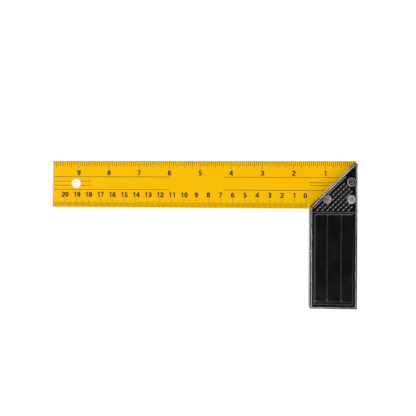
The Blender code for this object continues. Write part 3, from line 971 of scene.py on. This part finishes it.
def build_blade(lacquer, steel):
    """Lacquered blade with broken edges, its hang hole and rivet holes."""
    section = blade_section(0, BLADE_EDGE, blade_outline(BLADE_EDGE), blade_outline(0))
    blade = add_object("lacquered_blade", stack_mesh(section), lacquer, steel)
    for polygon in blade.data.polygons:
        polygon.material_index = 1 if abs(polygon.normal.z) < WALL_LEVEL else 0
    holes = [hole_levels(HANG_HOLE, HANG_HOLE_RADIUS)]
    holes += [hole_levels(centre, HOLE_RADIUS) for centre in RIVET_CENTRES.values()]
    settle(blade, [use_tool(blade, "DIFFERENCE", "blade_holes", stack_mesh(*holes), lacquer)])
    smooth(blade)
    dress(blade, "blade_lacquer", "steel_blade")


def ink_levels(face):
    """Bottom and top of the ink on the front (1) or the back (-1) of the blade."""
    surface = blade_high.z if face == 1 else blade_low.z
    return sorted((surface - face * INK_SUNK, surface + face * INK_PROUD))


def add_mark(mesh, face, low_x, high_x, low_y, high_y):
    """Add one straight printed mark, kept on the blade's face."""
    low_x = max(low_x, blade_low.x + BLADE_EDGE)
    high_x = min(high_x, blade_high.x - BLADE_EDGE)
    low_y = max(low_y, blade_low.y + BLADE_EDGE)
    high_y = min(high_y, blade_high.y - BLADE_EDGE)
    if low_x < high_x:
        outline = rectangle(low_x, high_x, low_y, high_y)
        add_stack(mesh, [(level, outline) for level in ink_levels(face)])


def tick_length(count, ticks):
    """Length of the tick at a count of parts, from the first kind that falls on it."""
    return next(length for interval, length in ticks if count % interval == 0)


def tick_mesh(face):
    """Millimetre ticks along the lower edge and sixteenths of an inch along the upper one."""
    mesh = bmesh.new()
    half = MM_TICK_WIDTH / 2
    for count in range(CM_COUNT * CM_PARTS + 1):
        x = CM_ZERO_X - count * MM
        add_mark(mesh, face, x - half, x + half, blade_low.y, blade_low.y + tick_length(count, CM_TICKS))
    half = INCH_TICK_WIDTH / 2
    inch_count = int((INCH_ZERO_X - blade_low.x) / INCH * INCH_PARTS)
    for count in range(1, inch_count + 1):
        x = INCH_ZERO_X - count * INCH / INCH_PARTS
        add_mark(mesh, face, x - half, x + half, blade_high.y - tick_length(count, INCH_TICKS), blade_high.y)
    return mesh


def line_mesh(face):
    """Long lines that frame the middle band of the blade."""
    mesh = bmesh.new()
    half = LINE_WIDTH / 2

    def line(height, start, end):
        y = blade_low.y + height
        add_mark(mesh, face, start, end, y - half, y + half)

    left = blade_low.x + END_MARGIN
    for height in OUTER_LINES:
        line(height, left, OUTER_LEFT_END)
        line(height, OUTER_RIGHT_START, mitre_x(blade_low.y + height, LINE_UNDER_HANDLE))
    for height in LEFT_PAIR:
        rise = blade_low.y + height - HANG_HOLE[1]
        reach = math.sqrt((HANG_HOLE_RADIUS + HOLE_EDGE + half) ** 2 - rise ** 2)
        line(height, left, HANG_HOLE[0] - reach)
        line(height, HANG_HOLE[0] + reach, LEFT_PAIR_END)
    for height in RIGHT_PAIR:
        line(height, RIGHT_PAIR_START, mitre_x(blade_low.y + height, LINE_UNDER_HANDLE))
    return mesh


def digit_shapes():
    """Pen strokes and straight-sided outlines of each digit, one unit tall."""
    half = DIGIT_WEIGHT / 2
    middle = DIGIT_WIDTH / 2
    wide = middle - half
    tall = HALF_UNIT - half
    upper = (middle, (1 - half + DIGIT_WAIST) / 2, wide * UPPER_BOWL_SHARE, (1 - half - DIGIT_WAIST) / 2)
    lower = (middle, (half + DIGIT_WAIST) / 2, wide, (DIGIT_WAIST - half) / 2)
    two = arc(middle, 1 - middle, wide, wide, start=175, end=-42) + [TWO_HEEL]
    three = [arc(*upper, start=160, end=-90) + [THREE_WAIST],
             [THREE_WAIST] + arc(*lower, start=90, end=-160)]
    five = arc(*FIVE_CENTRE, wide, FIVE_RISE, start=135, end=-160)
    six = [arc(middle, middle, wide, wide),
           [(half, middle)] + arc(middle, HALF_UNIT, wide, tall, start=180, end=40)]
    nine = [[(DIGIT_WIDTH - x, 1 - y) for x, y in path] for path in six]
    return {
        "0": ([arc(middle, HALF_UNIT, wide, tall)], []),
        "1": ([], [ONE_OUTLINE]),
        "2": ([two], [rectangle(*TWO_FOOT)]),
        "3": (three, []),
        "4": ([FOUR_SLANT], [rectangle(*FOUR_POST), rectangle(*FOUR_BAR)]),
        "5": ([five], [rectangle(*FIVE_TOP), FIVE_STEM]),
        "6": (six, []),
        "7": ([], [SEVEN_OUTLINE]),
        "8": ([arc(*upper), arc(*lower)], []),
        "9": (nine, []),
    }


def stroke_mesh(path):
    """Stroke of the digits' weight along a path, as a closed solid one unit thick."""
    mesh = bmesh.new()
    points = [Vector(point) for point in path]
    ring = (points[0] - points[-1]).length < DIGIT_WEIGHT / DIGIT_STEPS
    if ring:
        points.pop()
    sections = []
    for index, point in enumerate(points):
        before = points[index - 1] if index or ring else point
        after = points[(index + 1) % len(points)] if index + 1 < len(points) or ring else point
        side = (after - before).normalized().orthogonal() * DIGIT_WEIGHT / 2
        corners = ((point - side, -HALF_UNIT), (point + side, -HALF_UNIT),
                   (point + side, HALF_UNIT), (point - side, HALF_UNIT))
        sections.append([mesh.verts.new((*place, level)) for place, level in corners])
    for index in range(len(sections) if ring else len(sections) - 1):
        here = sections[index]
        onward = sections[(index + 1) % len(sections)]
        for corner in range(len(here)):
            beside = (corner + 1) % len(here)
            mesh.faces.new((here[corner], here[beside], onward[beside], onward[corner]))
    if not ring:
        mesh.faces.new(reversed(sections[0]))
        mesh.faces.new(sections[-1])
    bmesh.ops.recalc_face_normals(mesh, faces=mesh.faces[:])
    return mesh


def digit_data(strokes, outlines):
    """One digit as mesh data, one unit tall and thick, its left foot at the origin."""
    solids = [stroke_mesh(path) for path in strokes]
    solids += [stack_mesh([(-HALF_UNIT, outline), (HALF_UNIT, outline)]) for outline in outlines]
    holder = add_object("digit", solids[0])
    settle(holder, [use_tool(holder, "UNION", "stroke", solid) for solid in solids[1:]])
    data = holder.data
    bpy.data.objects.remove(holder, do_unlink=True)
    return data


def numeral_mesh(face):
    """Centimetre and inch numerals, readable from the face that carries them."""
    places = []
    for count in range(CM_COUNT):
        shift = CM_NUMERAL_SHIFT if count else ZERO_SHIFT
        places.append((str(count), CM_ZERO_X - count * CENTIMETRE + shift, CM_NUMERAL_BASE))
    inch_count = int((INCH_ZERO_X - blade_low.x) / INCH)
    for count in range(1, inch_count + 1):
        places.append((str(count), INCH_ZERO_X - count * INCH + INCH_NUMERAL_SHIFT, INCH_NUMERAL_BASE))
    digits = {text: digit_data(*shapes) for text, shapes in digit_shapes().items()}
    low, high = ink_levels(face)
    size = Matrix.Diagonal((NUMERAL_HEIGHT * NUMERAL_STRETCH, NUMERAL_HEIGHT, high - low, 1))
    turn = Matrix.Rotation(0 if face == 1 else math.pi, 4, "Y")
    mesh = bmesh.new()
    for text, x, base in places:
        middle = Matrix.Translation((x, blade_low.y + base, (low + high) / 2)) @ turn @ size
        start = -(len(text) * (DIGIT_WIDTH + DIGIT_GAP) - DIGIT_GAP) / 2
        for digit in text:
            copy = digits[digit].copy()
            copy.transform(middle @ Matrix.Translation((start, 0, 0)))
            mesh.from_mesh(copy)
            bpy.data.meshes.remove(copy)
            start += DIGIT_WIDTH + DIGIT_GAP
    for data in digits.values():
        bpy.data.meshes.remove(data)
    bmesh.ops.remove_doubles(mesh, verts=mesh.verts[:], dist=INK_MERGE)
    bmesh.ops.recalc_face_normals(mesh, faces=mesh.faces[:])
    return mesh


def build_print(ink):
    """Scales, numerals and band lines on both faces of the blade."""
    for face, side in zip(FACES, ("front", "back")):
        for name, make in (("ticks", tick_mesh), ("lines", line_mesh), ("numerals", numeral_mesh)):
            piece = add_object(f"printed_{name}_{side}", make(face), ink)
            dress(piece, "blade_lacquer")


def build_floor():
    """White floor: bright to the eye and in reflections, and it keeps the object's shadow."""
    level = handle_low.z - FLOOR_DROP
    mesh = bmesh.new()
    mesh.faces.new([mesh.verts.new((x, y, level)) for x, y in circle((0, 0), FLOOR_RADIUS)])
    material = bpy.data.materials.new("studio_floor")
    material.use_nodes = True
    tree = material.node_tree
    tree.nodes.remove(tree.nodes["Principled BSDF"])
    path = tree.nodes.new("ShaderNodeLightPath").outputs
    glossy, clear = path["Is Glossy Ray"], path["Is Transmission Ray"]
    shiny = add_node(tree, "Math", {0: glossy, 1: clear}, "Value", "MAXIMUM")
    visible = add_node(tree, "Math", {0: path["Is Camera Ray"], 1: shiny}, "Value", "MAXIMUM")
    bounce = add_node(tree, "BsdfDiffuse", {"Color": FLOOR_BOUNCE}, "BSDF")
    shade = add_node(tree, "BsdfDiffuse", {"Color": FLOOR_SHADE}, "BSDF")
    glow = add_node(tree, "Emission", {"Strength": FLOOR_GLOW}, "Emission")
    seen = add_node(tree, "AddShader", {0: shade, 1: glow}, "Shader")
    mixed = add_node(tree, "MixShader", {"Fac": visible, 1: bounce, 2: seen}, "Shader")
    tree.links.new(mixed, tree.nodes["Material Output"].inputs["Surface"])
    add_object("floor", mesh, material)


def build_world():
    """Studio surround: pale at the horizon, dark overhead, so that flat faces show no glare."""
    world = bpy.data.worlds.new("studio")
    bpy.context.scene.world = world
    world.use_nodes = True
    tree = world.node_tree
    place = add_node(tree, "TexCoord", {}, "Generated")
    height = add_node(tree, "SeparateXYZ", {"Vector": place}, "Z")
    tree.links.new(add_ramp(tree, height, SKY_TONES), tree.nodes["Background"].inputs["Color"])


def add_softbox(name, aim, azimuth, elevation, width, height, radiance):
    """Area lamp a set distance from the point that it faces."""
    lamp = bpy.data.lights.new(name, "AREA")
    lamp.shape = "RECTANGLE"
    lamp.size = width
    lamp.size_y = height
    lamp.energy = radiance * math.pi * width * height
    box = bpy.data.objects.new(name, lamp)
    turn = math.radians(azimuth)
    rise = math.radians(elevation)
    towards = Vector((math.cos(turn) * math.cos(rise), math.sin(turn) * math.cos(rise), math.sin(rise)))
    box.location = Vector(aim) + towards * LAMP_DISTANCE
    box.rotation_euler = towards.to_track_quat("Z", "Y").to_euler()
    box.visible_camera = False
    bpy.context.scene.collection.objects.link(box)


def build_lights():
    """Softboxes round the table, none overhead, aimed at the middle of the square or at its handle."""
    handle = (handle_low + handle_high) / 2
    middle = ((blade_low + blade_high) / 2 + handle) / 2
    for aim, lamps in ((middle, MIDDLE_LAMPS), (handle, HANDLE_LAMPS)):
        for name, settings in lamps.items():
            add_softbox(name, aim, *settings)


def build_camera():
    """Camera with the place, turn and focal length of the photograph."""
    lens = bpy.data.cameras.new("camera")
    lens.sensor_width = SENSOR_WIDTH
    lens.lens = FOCAL_PIXELS / IMAGE_PIXELS * SENSOR_WIDTH
    lens.clip_start = NEAREST_SEEN
    lens.clip_end = FARTHEST_SEEN
    camera = bpy.data.objects.new("camera", lens)
    into_camera = (Matrix.Rotation(CAMERA_ROLL, 3, "Z") @ Matrix.Rotation(CAMERA_PITCH, 3, "X")
                   @ Matrix.Rotation(CAMERA_YAW, 3, "Y"))
    camera.matrix_world = Matrix.Translation(CAMERA_PLACE) @ into_camera.transposed().to_4x4()
    bpy.context.scene.collection.objects.link(camera)
    bpy.context.scene.camera = camera


build_camera()
worn_paint = worn_edge_material()
build_handle(rim_material(), side_material(), paint_material(), worn_paint)
build_rivets(rivet_material(), worn_paint)
build_blade(lacquer_material(), steel_material())
build_print(ink_material())
build_floor()
build_world()
build_lights()
bpy.context.scene.view_settings.view_transform = "Standard"
